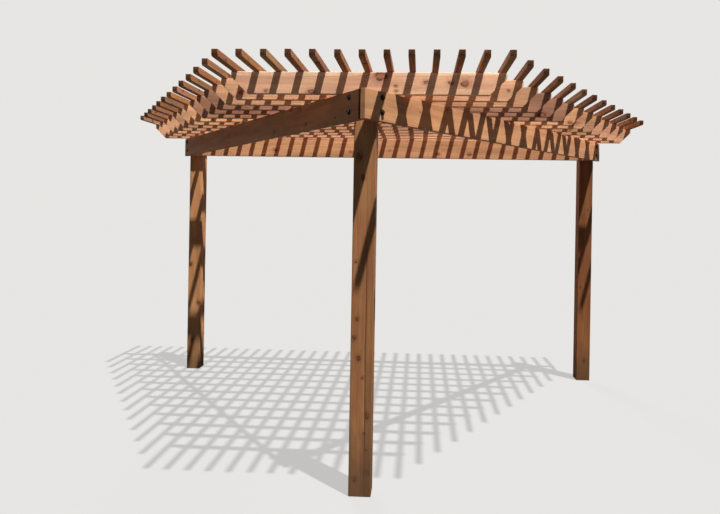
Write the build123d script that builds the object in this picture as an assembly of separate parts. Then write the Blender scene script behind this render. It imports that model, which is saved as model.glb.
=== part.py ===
from build123d import *
import math
import os

# Triangular timber pergola, in millimetres, at its real size.
# +X runs along the joists, +Y from the front post towards the back beam, +Z up.
# The origin is on the ground, under the middle of the roof's outline.

# Sections of the stock: posts, beams, joists and purlins
post_side = 138.0
beam_thickness = 38.0
beam_depth = 184.0
joist_thickness = 38.0
joist_depth = 140.0
purlin_width = 38.0
purlin_depth = 44.0

# Where the three posts stand, centre to centre
back_post_spacing = 4140.0
post_reach = 2840.0

# Ground to the top of the beams, where the joists sit
head_height = 2476.0

# Beam ends: depth of the seat cut in a post's corner, tail past the back posts, gap at a butted end
seat_cut = 8.0
beam_tail = 80.0
butt_gap = 0.5

# Joists: number, how far the first is set back from the front post's centre, and the cut of their ends
joist_count = 13
first_joist_setback = 25.0
joist_nose = 35.0
joist_nose_angle = 45.0
joist_end_reveal = 2.0

# Purlins: the middle group shares one front line, and each further pair ends over the next joist
middle_purlin_pairs = 6
middle_purlin_pitch = 141.0
side_purlin_pitch = 136.5
front_overhang = 406.0
side_overhang = 390.0
rear_overhang = 400.0
tip_chamfer = 10.0

# Places along Y, worked out from the front of the roof to its back
joist_run = post_reach - post_side / 2 - beam_thickness - first_joist_setback
roof_depth = front_overhang + joist_run + joist_thickness + rear_overhang
first_joist_y = front_overhang - roof_depth / 2
front_post_y = first_joist_y - first_joist_setback
back_post_y = front_post_y + post_reach
back_beam_y = first_joist_y + joist_run
joist_pitch = joist_run / (joist_count - 1)

# Heights
beam_bottom = head_height - beam_depth
joist_top = head_height + joist_depth

# The right-hand slanting beam runs from the front post to the right back post.
# along is its direction in plan and outward the direction that its outer face looks in.
leg_length = math.hypot(back_post_spacing / 2, post_reach)
leg_cos = back_post_spacing / 2 / leg_length
leg_sin = post_reach / leg_length
along = Vector(leg_cos, leg_sin)
outward = Vector(leg_sin, -leg_cos)

# Distance from a post's centre to the flat seat cut across its outer corner, and to the beam's outer face
seat_offset = post_side / 2 * (leg_sin + leg_cos) - seat_cut
outer_offset = seat_offset + beam_thickness


def leg_point(distance, offset):
    """Point in plan at a distance along the right-hand beam and an offset outwards from the posts' centre line."""
    return Vector(0, front_post_y) + along * distance + outward * offset


def mirrored_in_plan(point):
    """The same point on the left-hand side."""
    return Vector(-point.X, point.Y)


def plan_prism(points, bottom, height):
    """A straight prism on an outline in plan."""
    outline = Polyline(*[(p.X, p.Y, bottom) for p in points], close=True)
    return extrude(make_face(outline), amount=height, dir=(0, 0, 1))


def board_along_x(profile, front, thickness):
    """A board whose outline in X and Z is given, standing between front and front + thickness in Y."""
    outline = Polyline(*[(x, front, z) for x, z in profile], close=True)
    return extrude(make_face(outline), amount=thickness, dir=(0, 1, 0))


def board_along_y(profile, left, width):
    """A board whose outline in Y and Z is given, lying between left and left + width in X."""
    outline = Polyline(*[(left, y, z) for y, z in profile], close=True)
    return extrude(make_face(outline), amount=width, dir=(1, 0, 0))


def mirror_in_x(solid):
    """The same solid on the other side of the middle plane."""
    return mirror(solid, about=Plane.YZ)


def post(x, y):
    """A square post from the ground to the top of the beams."""
    shaft = Box(post_side, post_side, head_height, align=(Align.CENTER, Align.CENTER, Align.MIN))
    return Pos(x, y, 0) * shaft


def seat_waste(distance):
    """What is cut from a post's outer corner to make the flat seat for the right-hand beam."""
    corners = [
        leg_point(distance - post_side, seat_offset),
        leg_point(distance + post_side, seat_offset),
        leg_point(distance + post_side, seat_offset + post_side),
        leg_point(distance - post_side, seat_offset + post_side),
    ]
    return plan_prism(corners, beam_bottom, beam_depth)


def front_post():
    """The front post carries both slanting beams, so it has a seat on each front corner."""
    waste = seat_waste(0)
    return post(0, front_post_y) - waste - mirror_in_x(waste)


def right_post():
    """A back post has one seat, on the corner that looks outwards and forwards."""
    return post(back_post_spacing / 2, back_post_y) - seat_waste(leg_length)


# Where the right-hand beam's square front end starts: its inner arris meets the left-hand beam's outer face
lap_start = (seat_offset * (leg_cos**2 - leg_sin**2) - outer_offset) / (2 * leg_sin * leg_cos)
tail_end = leg_length + beam_tail


def right_beam():
    """The slanting beam whose square front end laps over the other one's."""
    corners = [
        leg_point(lap_start, seat_offset),
        leg_point(lap_start, outer_offset),
        leg_point(tail_end, outer_offset),
        leg_point(tail_end, seat_offset),
    ]
    return plan_prism(corners, beam_bottom, beam_depth)


def left_beam():
    """The slanting beam whose front end is bevelled to butt against the right-hand beam's inner face."""
    face = seat_offset - butt_gap
    bevel = [
        (face + offset * (leg_sin**2 - leg_cos**2)) / (-2 * leg_sin * leg_cos)
        for offset in (seat_offset, outer_offset)
    ]
    corners = [
        leg_point(bevel[0], seat_offset),
        leg_point(bevel[1], outer_offset),
        leg_point(tail_end, outer_offset),
        leg_point(tail_end, seat_offset),
    ]
    return plan_prism([mirrored_in_plan(p) for p in corners], beam_bottom, beam_depth)


def back_beam():
    """The beam on the front faces of the back posts, its ends cut to fit between the slanting beams."""
    reach = seat_offset - butt_gap
    front_half, back_half = [
        (reach + (y - front_post_y) * leg_cos) / leg_sin
        for y in (back_beam_y, back_beam_y + beam_thickness)
    ]
    corners = [
        Vector(-front_half, back_beam_y),
        Vector(front_half, back_beam_y),
        Vector(back_half, back_beam_y + beam_thickness),
        Vector(-back_half, back_beam_y + beam_thickness),
    ]
    return plan_prism(corners, beam_bottom, beam_depth)


def purlin_x(number):
    """Distance of a purlin from the middle plane; number 0 is the centre one."""
    beyond = max(0, number - middle_purlin_pairs)
    return (number - beyond) * middle_purlin_pitch + beyond * side_purlin_pitch


def joist(number):
    """A joist lying on the beams; each one back is longer by one purlin a side, and its ends are nosed."""
    half = purlin_x(middle_purlin_pairs + number) + purlin_width / 2 + joist_end_reveal
    cut_rise = joist_depth - joist_nose
    foot = half - cut_rise / math.tan(math.radians(joist_nose_angle))
    nose = head_height + cut_rise
    profile = [
        (-foot, head_height),
        (foot, head_height),
        (half, nose),
        (half, joist_top),
        (-half, joist_top),
        (-half, nose),
    ]
    return board_along_x(profile, first_joist_y + number * joist_pitch, joist_thickness)


def purlin(number):
    """A purlin on top of the joists, on the right of the middle plane, with a chamfer under its front tip."""
    behind = max(0, number - middle_purlin_pairs)
    overhang = side_overhang if behind else front_overhang
    tip = first_joist_y + behind * joist_pitch - overhang
    tail = back_beam_y + joist_thickness + rear_overhang
    top = joist_top + purlin_depth
    profile = [
        (tip + tip_chamfer, joist_top),
        (tail - tip_chamfer, joist_top),
        (tail, joist_top + tip_chamfer),
        (tail, top),
        (tip, top),
        (tip, joist_top + tip_chamfer),
    ]
    return board_along_y(profile, purlin_x(number) - purlin_width / 2, purlin_width)


def purlin_pair(number):
    """Two like purlins, one on each side of the middle plane."""
    right = purlin(number)
    return Compound(children=[mirror_in_x(right), right])


parts = {
    "front_post": front_post(),
    "right_post": right_post(),
    "left_post": mirror_in_x(right_post()),
    "right_beam": right_beam(),
    "left_beam": left_beam(),
    "back_beam": back_beam(),
    "centre_purlin": purlin(0),
}
for number in range(joist_count):
    parts[f"joist_{number + 1:02d}"] = joist(number)
for number in range(1, middle_purlin_pairs + joist_count):
    parts[f"purlin_pair_{number:02d}"] = purlin_pair(number)

os.makedirs("parts", exist_ok=True)
for name, solid in parts.items():
    export_step(solid, f"parts/{name}.step")
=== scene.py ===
import math

import bpy
import numpy as np
from bpy.props import FloatProperty, FloatVectorProperty, IntProperty, PointerProperty
from mathutils import Matrix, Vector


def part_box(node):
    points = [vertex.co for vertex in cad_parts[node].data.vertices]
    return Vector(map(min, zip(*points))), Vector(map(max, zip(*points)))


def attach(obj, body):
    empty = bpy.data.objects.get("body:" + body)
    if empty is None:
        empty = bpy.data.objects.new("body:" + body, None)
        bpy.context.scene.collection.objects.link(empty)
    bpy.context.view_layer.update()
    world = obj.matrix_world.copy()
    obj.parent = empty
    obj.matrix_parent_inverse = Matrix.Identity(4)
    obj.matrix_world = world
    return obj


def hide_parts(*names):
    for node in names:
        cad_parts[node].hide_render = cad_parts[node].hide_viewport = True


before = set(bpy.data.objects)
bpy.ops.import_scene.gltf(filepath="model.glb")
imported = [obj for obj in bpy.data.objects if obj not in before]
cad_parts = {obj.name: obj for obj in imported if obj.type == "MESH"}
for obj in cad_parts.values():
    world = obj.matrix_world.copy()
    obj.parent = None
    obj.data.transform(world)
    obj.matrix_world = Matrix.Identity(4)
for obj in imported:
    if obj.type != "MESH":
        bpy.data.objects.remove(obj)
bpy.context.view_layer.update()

bl_info = {
    "name": "Triangular timber pergola",
    "version": (1, 0, 0),
    "blender": (4, 5, 0),
    "location": "3D View > Sidebar > Pergola",
    "description": "Dresses a three-post pergola in stained timber, with its bolts, screws and stage",
    "category": "Add Mesh",
}

# The solids that come in rows
JOISTS = sorted(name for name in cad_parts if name.startswith("joist_"))
PURLIN_PAIRS = sorted(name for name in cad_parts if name.startswith("purlin_pair_"))

# Attributes that carry each timber's own grain to its material
PLACE, TONE, KNOT, ACROSS = "grain_place", "board_tone", "nearest_knot", "across_face"
# The open check attribute marks where the material paints shade inside the drying checks
END, HOLLOW, DULL, SAPWOOD = "end_grain", "open_check", "dull_strip", "sapwood_radius"

# Directions of the frame
RIGHT, BACK, UP = np.eye(3)

# The four flats of a timber's section, in the order in which its outline runs round them
BOTTOM_FLAT, LEFT_FLAT, TOP_FLAT, RIGHT_FLAT = range(4)

# Distances closer than this count as equal, on the solids and on a timber's own outline
SAME_ON_SOLID = 1e-4
SAME = 1e-6

# Ease of the ends' arrises as a share of the long ones', and the step down to a seat as a share of that
END_EASE = 0.6
LEDGE = 0.2
# Even points of an outline give way to marks that lie closer than this
CLEARANCE = 0.004
# Points of a drying check beside its middle line when shut, and as shares of half its gap when open
CHECK_MARKS = (-0.0045, -0.0015, 0.0015, 0.0045)
CHECK_SPREAD = np.array((-1.0, -0.3, 0.3, 1.0))
SHUT_GAP = 0.0003
# Sideways waves of a drying check: how far, and how fast along it
CHECK_WAVES = ((0.0016, 11), (0.0008, 37))
# Powers by which a check opens and drifts along its length, and how soon it counts as wholly hollow
CHECK_OPENS, CHECK_DRIFTS, HOLLOW_SOON = 0.6, 1.6, 3
# Faces that meet at more than this angle have a sharp edge between them on bolts and screws
SHARP_ANGLE = math.radians(25)

# For each kind of timber: the width of its rings, how high soil is splashed on it, the colour of its knots
WOODS = {
    "post": (0.0042, 0.50, "dark_knot"),
    "beam": (0.0060, 0.0, "knot"),
    "joist": (0.0055, 0.0, "knot"),
    "purlin": (0.0038, 0.0, "dark_knot"),
}
# For each kind: how far from the heart it is sawn, how many knots it has to a beam's one, their least and
# greatest radius, and how much darker its end faces are, the cut-back face of a nosed end last
SAWN = {
    "post": ((0.004, 0.018), 2.2, (0.005, 0.017), (0.45,)),
    # The beams' end darkening is partly painted shade: on the left beam's square end it darkens the lap's
    # open wedge, where shade falls
    "beam": ((0.05, 0.13), 1.0, (0.006, 0.024), (0.60,)),
    "joist": ((0.04, 0.12), 1.5, (0.004, 0.020), (0.35, 0.35)),
    # The purlins' -0.20 is painted light: it makes the cut-back chamfer paler, to offset the shade it gets
    # from facing down
    "purlin": ((0.02, 0.09), 1.2, (0.004, 0.011), (0.72, -0.20)),
}
# The right beam's end face is pale instead
PALE_END = (-0.5,)
# One board in three has sapwood, which starts this share of its depth beyond the middle, or further
SAPWOOD_CHANCE = 1 / 3
SAPWOOD_START = (0.15, 0.4)
# Where the seeds of each kind start, counted from the one that a user may change, except for the fixings
SEEDS = {"posts": 1, "beams": 4, "joists": 10, "centre purlin": 30, "pairs": 40, "bolts": 7, "screws": 11}
# How far along its tree each seed starts, and the most steps that a drawn tone goes
GRAIN_SHIFT = 3.7
TONE_LIMIT = 1.7
# Where in its step a knot may lie, how far out as a share of half the face, and what keeps it off others
KNOT_STEP, KNOT_REACH, OTHER_FACE = (0.15, 0.85), 0.8, 100.0
# Radius of the sapwood where there is none, and the knot of a face that has none
NO_SAPWOOD = 9.0
NO_KNOT = (9.0, 9.0, 1.0)
# The front joist's heart beside its middle, and the radius past which its upper edge is sapwood
FRONT_JOIST_HEART, FRONT_JOIST_SAPWOOD = (-0.090, 0.030), 0.142

# Knots that the photograph shows on front faces: distance along the timber from where its own directions
# start, distance across from its middle line, radius
SEEN_KNOTS = {
    "front_post": (
        (2.080, -0.034, 0.014), (1.951, -0.010, 0.010), (1.436, -0.045, 0.006), (1.086, -0.032, 0.007),
        (0.972, -0.048, 0.009), (0.846, -0.020, 0.010), (0.727, 0.008, 0.006), (0.496, 0.040, 0.013),
        (0.391, 0.023, 0.006), (0.288, 0.036, 0.005), (0.149, 0.046, 0.010), (0.105, -0.032, 0.010),
    ),
    "left_post": ((1.124, -0.046, 0.015), (0.709, 0.045, 0.013), (0.306, -0.016, 0.012)),
    "left_beam": (
        (0.178, -0.050, 0.006), (0.603, -0.049, 0.009), (0.697, 0.062, 0.007), (0.849, 0.080, 0.008),
        (1.154, -0.052, 0.010), (1.996, 0.007, 0.008), (2.167, 0.008, 0.010),
    ),
    "right_beam": ((0.388, 0.017, 0.004), (0.705, 0.072, 0.005), (2.358, 0.027, 0.007)),
    "back_beam": (
        (-1.202, -0.018, 0.014), (-0.399, -0.034, 0.008), (0.018, -0.014, 0.007), (0.523, -0.044, 0.012),
        (0.853, -0.044, 0.014),
    ),
    "joist_01": (
        (0.084, 0.043, 0.025), (0.365, 0.006, 0.010), (0.522, 0.004, 0.012), (0.607, 0.001, 0.017),
        (0.178, -0.017, 0.0060), (0.181, -0.046, 0.0066), (-0.355, -0.056, 0.012), (-0.642, -0.052, 0.008),
    ),
}

# Drying checks of the posts: flat, place across it, lowest and highest point, gap, depth, drift to the top
CHECKS = {
    "front_post": (LEFT_FLAT, 0.023, 0.06, 1.86, 0.0005, 0.007, -0.006),
    "right_post": (RIGHT_FLAT, -0.012, 0.30, 1.75, 0.0018, 0.012, 0.009),
    "left_post": (RIGHT_FLAT, 0.016, 0.70, 2.10, 0.0020, 0.010, -0.010),
}
# Heights between which the duller strip beside the front post's check fades out
DULL_BELOW = (0.62, 0.88)

# How single timbers differ from the rest of their kind: lighter, yellower and stronger in colour, each in
# steps of the usual spread
TONES = {
    "front_post": (-0.2, 0.0, 0.3), "left_post": (3.2, 0.8, 0.0), "right_post": (-2.4, -1.6, 1.2),
    # The back beam's lighter, yellower tone is partly painted light: it makes up for the light on its face
    # being weaker and redder than on the right beam
    "right_beam": (0.6, 0.2, 0.0), "left_beam": (-0.4, -0.2, 0.0), "back_beam": (1.6, 1.0, -0.6),
    "joist_01": (1.8, 0.8, -0.9), "joist_02": (1.0, 1.2, 0.0), "joist_03": (-0.5, 1.2, 0.2),
    "joist_04": (-2.8, -1.2, 0.0), "joist_05": (-2.4, -1.6, 0.4), "joist_06": (-2.0, -0.8, 0.4),
    "joist_07": (0.8, 1.8, 1.0), "joist_08": (-0.6, 1.2, 0.6), "joist_09": (-1.4, 0.8, 0.6),
    "joist_11": (1.0, 0.4, 0.0), "joist_12": (1.0, 0.2, -0.4), "joist_13": (0.7, 1.4, 0.2),
}
# The same for single purlins, by their pair and the side of the middle plane that they lie on
PURLIN_TONES = {
    ("purlin_pair_02", 1): (-0.6, -1.4, 0.8), ("purlin_pair_03", -1): (0.0, -1.0, 0.6),
    ("purlin_pair_03", 1): (-0.6, -1.2, 0.8), ("purlin_pair_04", -1): (0.2, 4.0, -0.4),
    ("purlin_pair_04", 1): (-0.8, -1.6, 1.0),
}

# Heights of the two bolts in a beam, as shares of its depth, and the number of sides of turned shapes
BOLT_HEIGHTS = (0.31, 0.80)
BOLT_SIDES, SCREW_SIDES = 24, 12
# How far a screw may stand off the middle of its crossing
SCREW_JITTER = 0.004

# Colours laid in open checks as painted shade, and on knots' rims and dust
CHECK_SHADE_COLOUR, RIM_COLOUR, DUST_COLOUR = (0.012, 0.006, 0.003), (0.040, 0.016, 0.008), (0.11, 0.085, 0.065)
# Hue, saturation and value of sapwood, and the colour factors where the wood takes little or much stain
SAPWOOD_SHIFT = (0.514, 0.86, 1.16)
STAIN_TAKEN = ((1.07, 1.09, 1.06), (0.93, 0.89, 0.91))
# Noise along the grain: how often it changes along and across in a metre, its detail and roughness, and the
# level at which its smooth step starts, which ends as far from one
GRAIN_NOISE = {
    "Fibres": (7.0, 420.0, 3.0, 0.6, 0.32),
    "Streaks": (1.6, 75.0, 3.0, 0.6, 0.34),
    "Bands": (0.8, 9.0, 2.0, 0.5, 0.30),
    "Patches": (3.0, 15.0, 2.0, 0.55, 0.36),
}
# How far the noise moves the rings, in metres
RIPPLE = 0.006
# The share up to which each mask lays its colour over the wood
COVER = {
    "Halo": 0.42, "Knot Rings": 0.4, "Heart": 0.78, "Rim": 0.85, "Bleach": 1.0, "Dull": 0.46, "Splash": 0.7,
    "Hollow": 0.75,
}
# Places of sockets: an attribute's vector and number, and a colour mix's three inputs and its output
VECTOR, NUMBER = 1, 2
MIX_INPUTS, MIX_OUTPUT = (0, 6, 7), 2

# The photograph's frame in pixels, and the point in it that is level with the eye and straight ahead
PHOTO_WIDTH, PHOTO_HEIGHT = 720, 514
PHOTO_AHEAD = (386.457, 207.277)
# Width of the film in millimetres, how far the camera sees, and how far off the lamps stand
FILM, SIGHT, LAMP_DISTANCE = 36.0, 500.0, 8.0
# Half the floor's side, and its height
FLOOR_HALF, FLOOR_LEVEL = 60.0, -0.001


# Measures read off the solids

def corners(node):
    """Every corner of a solid, one row each, in metres."""
    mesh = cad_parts[node].data
    points = np.empty(len(mesh.vertices) * 3, np.float32)
    mesh.vertices.foreach_get("co", points)
    return points.reshape(-1, 3).astype(float)


def box(node):
    """Lowest and highest corner of a solid, as two rows."""
    return np.array([tuple(corner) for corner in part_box(node)])


def reach(points, direction):
    """Least and greatest distance of some points along a direction."""
    distance = points @ direction
    return distance.min(), distance.max()


def only_at(points, direction, wanted):
    """The points whose distance along a direction has the wanted value."""
    return points[np.abs(points @ direction - wanted) < SAME_ON_SOLID]


FRONT_CENTRE, RIGHT_CENTRE, LEFT_CENTRE = [
    box(post).mean(axis=0) * (1, 1, 0) for post in ("front_post", "right_post", "left_post")
]
POST_SIDE = np.ptp(box("front_post"), axis=0)[0]
PURLIN_WIDTH = np.ptp(box("centre_purlin"), axis=0)[0]
BEAM_BOTTOM, HEAD_HEIGHT = box("right_beam")[:, 2]
BEAM_DEPTH = HEAD_HEIGHT - BEAM_BOTTOM
ROOF_TOP = box("centre_purlin")[1, 2]
ALONG_RIGHT = (RIGHT_CENTRE - FRONT_CENTRE) / np.linalg.norm(RIGHT_CENTRE - FRONT_CENTRE)
OUT_RIGHT = np.cross(ALONG_RIGHT, UP)
ALONG_LEFT, OUT_LEFT = ALONG_RIGHT * (-1, 1, 1), OUT_RIGHT * (-1, 1, 1)
SEAT_OFFSET, OUTER_OFFSET = reach(corners("right_beam") - FRONT_CENTRE, OUT_RIGHT)


# Shapes of sawn timber

def constant(value):
    """A square end, at the same distance along the timber all over."""
    return lambda v, w: value + 0 * v


def slanting(at_left, at_right, width):
    """An end cut slanting across the width, from its distance on the left face to that on the right."""
    return lambda v, w: at_left + (at_right - at_left) * (w / width + 0.5)


def nosed(tip, kink, slope):
    """An end that is square above a kink in its height, and cut back below it at a slope."""
    return lambda v, w: tip - slope * np.maximum(0, kink - v)


class Timber:
    """A sawn timber in its own directions: u along the grain, v up its depth and w across its width.

    start and finish are its two ends, as functions that give the distance along the grain from v and w."""

    def __init__(self, kind, middle, along, up, depth, width, start, finish, ease, seed):
        self.kind, self.start, self.finish = kind, start, finish
        self.hearts, self.knot_share, self.radii, self.end_shades = SAWN[kind]
        self.middle, self.along, self.up, self.side = middle, along, up, np.cross(along, up)
        self.depth, self.width, self.ease = depth, width, ease
        self.draw = np.random.default_rng(seed)
        self.shift = GRAIN_SHIFT * seed
        self.tone = self.draw.normal(0, 1, 3).clip(-TONE_LIMIT, TONE_LIMIT)
        self.marks = [(), (), (), ()]
        self.kink = self.check = self.dull_below = None
        self.seats = ()
        self.wander = 0.0

    def nose(self, kink):
        """Lets both ends be cut back below a kink, with a point of the outline there on each side."""
        self.kink = kink
        self.marks[LEFT_FLAT] = self.marks[RIGHT_FLAT] = (kink,)

    def ends(self):
        """Distances of the two ends along the middle line."""
        nothing = np.zeros(1)
        return float(self.start(nothing, nothing)[0]), float(self.finish(nothing, nothing)[0])

    def grow(self, finish, flats):
        """Chooses where the heart of the tree lay beside the section, and puts a knot near the middle of
        each even step along the timber, on one of the given flats.

        A board cut near the bark has pale sapwood at its edge away from the heart."""
        distance = self.draw.uniform(*self.hearts)
        angle = self.draw.uniform(0, 2 * math.pi)
        self.heart = (distance * math.cos(angle), distance * math.sin(angle))
        self.sapwood = NO_SAPWOOD
        if self.draw.uniform() < SAPWOOD_CHANCE:
            self.sapwood = distance + self.draw.uniform(*SAPWOOD_START) * self.depth
        first, last = self.ends()
        count = max(1, round((last - first) * (finish.knots_per_metre * self.knot_share)))
        places = first + (last - first) / count * (np.arange(count) + self.draw.uniform(*KNOT_STEP, count))
        smallest, largest = self.radii
        radii = smallest + (largest - smallest) * self.draw.uniform(0, 1, count) ** 2
        flat = self.draw.choice(flats, count)
        half = np.where((flat == TOP_FLAT) | (flat == BOTTOM_FLAT), self.width, self.depth) / 2
        across = self.draw.uniform(-KNOT_REACH, KNOT_REACH, count) * half
        self.knots = np.column_stack([places, across, radii, flat])

    def match(self, node):
        """Takes over the tone, the front knots and the drying check that are given for a node. A board with
        a given tone has no sapwood."""
        if node in TONES:
            self.tone = np.array(TONES[node])
            if self.kind != "post":
                self.sapwood = NO_SAPWOOD
        if node in SEEN_KNOTS:
            seen = np.array(SEEN_KNOTS[node])
            elsewhere = self.knots[self.knots[:, 3] != LEFT_FLAT]
            self.knots = np.vstack([elsewhere, np.column_stack([seen, np.full(len(seen), LEFT_FLAT)])])
        if node in CHECKS:
            flat, place, *self.check = CHECKS[node]
            marks = tuple(place + offset for offset in CHECK_MARKS)
            self.marks[flat] += marks
            self.check += [1 if flat == RIGHT_FLAT else -1, marks]


def flat_marks(half, step, extra):
    """Places of the points along one flat of a section: even steps, which give way near the extra marks."""
    even = np.linspace(-half, half, max(2, round(2 * half / step)) + 1)
    extra = np.asarray(extra, float)
    if not len(extra):
        return even
    clear = np.abs(even[:, None] - extra).min(axis=1) > CLEARANCE
    return np.sort(np.concatenate([even[clear], extra]))


def section(timber, inset, step):
    """Outline of a timber's section, as (v, w) rows that run round it once.

    Four flats have points at their marks, and a quarter circle of three chords joins each to the next.
    An inset outline has the same points, moved inwards square to the outline."""
    ease = timber.ease
    v_mid, w_mid = timber.depth / 2 - ease, timber.width / 2 - ease
    v_edge, w_edge = timber.depth / 2 - inset, timber.width / 2 - inset
    below, left, above, right = [
        flat_marks(half, step, extra) for half, extra in zip((w_mid, v_mid, w_mid, v_mid), timber.marks)
    ]
    flats = [
        (-v_edge + 0 * below, below[::-1]),
        (left, -w_edge + 0 * left),
        (v_edge + 0 * above, above),
        (right[::-1], w_edge + 0 * right),
    ]
    centres = [(-v_mid, -w_mid), (v_mid, -w_mid), (v_mid, w_mid), (-v_mid, w_mid)]
    outline = []
    for corner, (flat, centre) in enumerate(zip(flats, centres)):
        angle = np.radians(180 + 90 * corner + np.array((30, 60)))
        outline.append(np.column_stack(flat))
        outline.append(centre + (ease - inset) * np.column_stack([np.cos(angle), np.sin(angle)]))
    return np.vstack(outline)


def stations(timber, inset, step):
    """Shares of the length and distances past them at which the outline is repeated, in order."""
    first, last = timber.ends()
    between = np.linspace(0, 1, max(2, round((last - first) / step)) + 1)[1:-1]
    rows = [(0, 0), (0, inset), (1, -inset), (1, 0)] + [(share, 0) for share in between]
    if timber.seats:
        ledge = (BEAM_BOTTOM - first) / (last - first)
        rows += [(ledge, 0), (ledge, inset * LEDGE)]
    rows = np.array(rows)
    return rows[np.argsort(rows[:, 0] * (last - first) + rows[:, 1], kind="stable")]


def cut_seats(timber, u, v, w):
    """Above the beams' undersides, drops what lies beyond each seat's plane square onto the plane."""
    above = u > BEAM_BOTTOM + SAME
    for v_part, w_part in timber.seats:
        beyond = np.where(above, np.maximum(0, v * v_part + w * w_part - SEAT_OFFSET), 0)
        v -= beyond * v_part
        w -= beyond * w_part


def cut_check(timber, u, v, w):
    """Opens a drying check in one face and returns how hollow each point is, where the material paints shade.

    Four points of the flat follow a wandering line, a narrow gap apart, and the inner two sink in. Gap and
    depth grow from nothing at both ends, by a power of a half sine."""
    hollow = np.zeros_like(v)
    if timber.check is None:
        return hollow
    low, high, gap, depth, drift, side, marks = timber.check
    on_face = np.abs(w[1] - side * timber.width / 2) < SAME
    columns = [np.flatnonzero(on_face & (np.abs(v[1] - mark) < SAME))[0] for mark in marks]
    share = np.clip((u[:, columns[0]] - low) / (high - low), 0, 1)
    opening = np.sin(math.pi * share) ** CHECK_OPENS
    line = np.mean(marks) + drift * share ** CHECK_DRIFTS
    for size, turns in CHECK_WAVES:
        line += size * np.sin(turns * share)
    half_gap = SHUT_GAP + gap / 2 * opening
    v[:, columns] = line[:, None] + half_gap[:, None] * CHECK_SPREAD
    w[:, columns[1:3]] -= side * (depth * opening)[:, None]
    hollow[:, columns[1:3]] = np.minimum(1, HOLLOW_SOON * opening)[:, None]
    return hollow


def dull_strip(timber, u, v):
    if timber.dull_below is None:
        return np.zeros_like(v)
    lower, upper = timber.dull_below
    return (v > np.mean(timber.check[-1])) * np.clip((upper - u) / (upper - lower), 0, 1)


def end_faces(timber, outline):
    """One face over a flat end, or two that meet along the kink of a nosed one, the square part first."""
    ring = np.arange(len(outline))
    if timber.kink is None:
        return [ring]
    over = np.flatnonzero(outline[:, 0] > timber.kink - SAME)
    first, last = over[0], over[-1]
    return [ring[first:last + 1], np.concatenate([ring[last:], ring[:first + 1]])]


def ring_quads(rings, around):
    """Faces between neighbouring rings of points, as rows of four, facing outwards."""
    ring = np.arange(around)
    after = np.roll(ring, -1)
    start = np.arange(rings - 1)[:, None] * around
    quads = np.stack([start + ring, start + after, start + around + after, start + around + ring], axis=2)
    return quads.reshape(-1, 4)


def knot_corners(timber, local, quads, flat):
    """For each corner of each long face, its distance along and across from the knot nearest to that face
    and the knot's radius, and for each face the direction across it. On a post each face has its own knots,
    and on a board a knot goes right through."""
    knots = timber.knots
    own_faces = np.ptp(knots[:, 3]) > 0
    across_w = own_faces & ((flat == TOP_FLAT) | (flat == BOTTOM_FLAT))
    along = local[quads][..., 0]
    across = np.where(across_w[:, None], local[quads][..., 2], local[quads][..., 1])
    direction = np.zeros((len(quads), 3))
    direction[np.arange(len(quads)), np.where(across_w, 2, 1)] = 1
    middle = np.stack([along.mean(axis=1), across.mean(axis=1)], axis=1)
    distance = np.hypot(*(middle[:, None] - knots[None, :, :2]).transpose(2, 0, 1)) - knots[:, 2]
    if own_faces:
        distance = distance + OTHER_FACE * (knots[None, :, 3] != flat[:, None])
    nearest = knots[distance.argmin(axis=1)]
    radius = np.repeat(nearest[:, 2:3], 4, axis=1)
    place = np.stack([along - nearest[:, :1], across - nearest[:, 1:2], radius], axis=2)
    return place.reshape(-1, 3), direction


def timber_surface(timber, finish):
    """Points, faces and attributes of one timber, as a dictionary of arrays.

    The section's outline is carried along the grain: at a share s of the length, each of its points lies
    at start(v, w) + s (finish(v, w) - start(v, w)), so that an end may be square, slanting or nosed. The
    first and last outlines are inset, which eases the arrises of the ends. A free tip wanders sideways
    by the cube of its distance from the middle."""
    inset = END_EASE * timber.ease
    full, ends = [section(timber, depth, finish.step_across) for depth in (0.0, inset)]
    rows = stations(timber, inset, finish.step_along)
    share, past = rows[:, :1], rows[:, 1:]
    count, around = len(rows), len(full)
    v, w = [np.repeat(full[None, :, axis], count, axis=0) for axis in (0, 1)]
    v[[0, -1]], w[[0, -1]] = ends[:, 0], ends[:, 1]
    u = timber.start(v, w) * (1 - share) + timber.finish(v, w) * share + past
    cut_seats(timber, u, v, w)
    hollow = cut_check(timber, u, v, w)

    middles = (full + np.roll(full, -1, axis=0)) / 2
    flatness = np.abs(middles) / (timber.depth / 2, timber.width / 2)
    flat = np.where(flatness[:, 0] > flatness[:, 1], np.where(middles[:, 0] > 0, TOP_FLAT, BOTTOM_FLAT),
                    np.where(middles[:, 1] > 0, RIGHT_FLAT, LEFT_FLAT))
    quads = ring_quads(count, around)
    local = np.stack([u, v, w], axis=2).reshape(-1, 3)
    knots, direction = knot_corners(timber, local, quads, np.tile(flat, count - 1))
    sideways = w + timber.wander * np.abs(2 * share - 1) ** 3
    points = (timber.middle + u[..., None] * timber.along + v[..., None] * timber.up
              + sideways[..., None] * timber.side)
    caps = end_faces(timber, full)
    return {
        "points": points.reshape(-1, 3),
        "quads": quads,
        "caps": [face[::-1] for face in caps] + [face + (count - 1) * around for face in caps],
        PLACE: local + (timber.shift, -timber.heart[0], -timber.heart[1]),
        TONE: np.tile(timber.tone, (len(local), 1)),
        HOLLOW: hollow.reshape(-1),
        DULL: dull_strip(timber, u, v).reshape(-1),
        SAPWOOD: np.full(len(local), timber.sapwood),
        KNOT: knots,
        ACROSS: direction,
    }


def store(mesh, name, domain, values):
    """Writes an attribute of the mesh from an array of numbers or of vectors."""
    kind, field = ("FLOAT", "value") if values.ndim == 1 else ("FLOAT_VECTOR", "vector")
    layer = mesh.attributes.new(name, kind, domain)
    layer.data.foreach_set(field, values.astype(np.float32).ravel())


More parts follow.
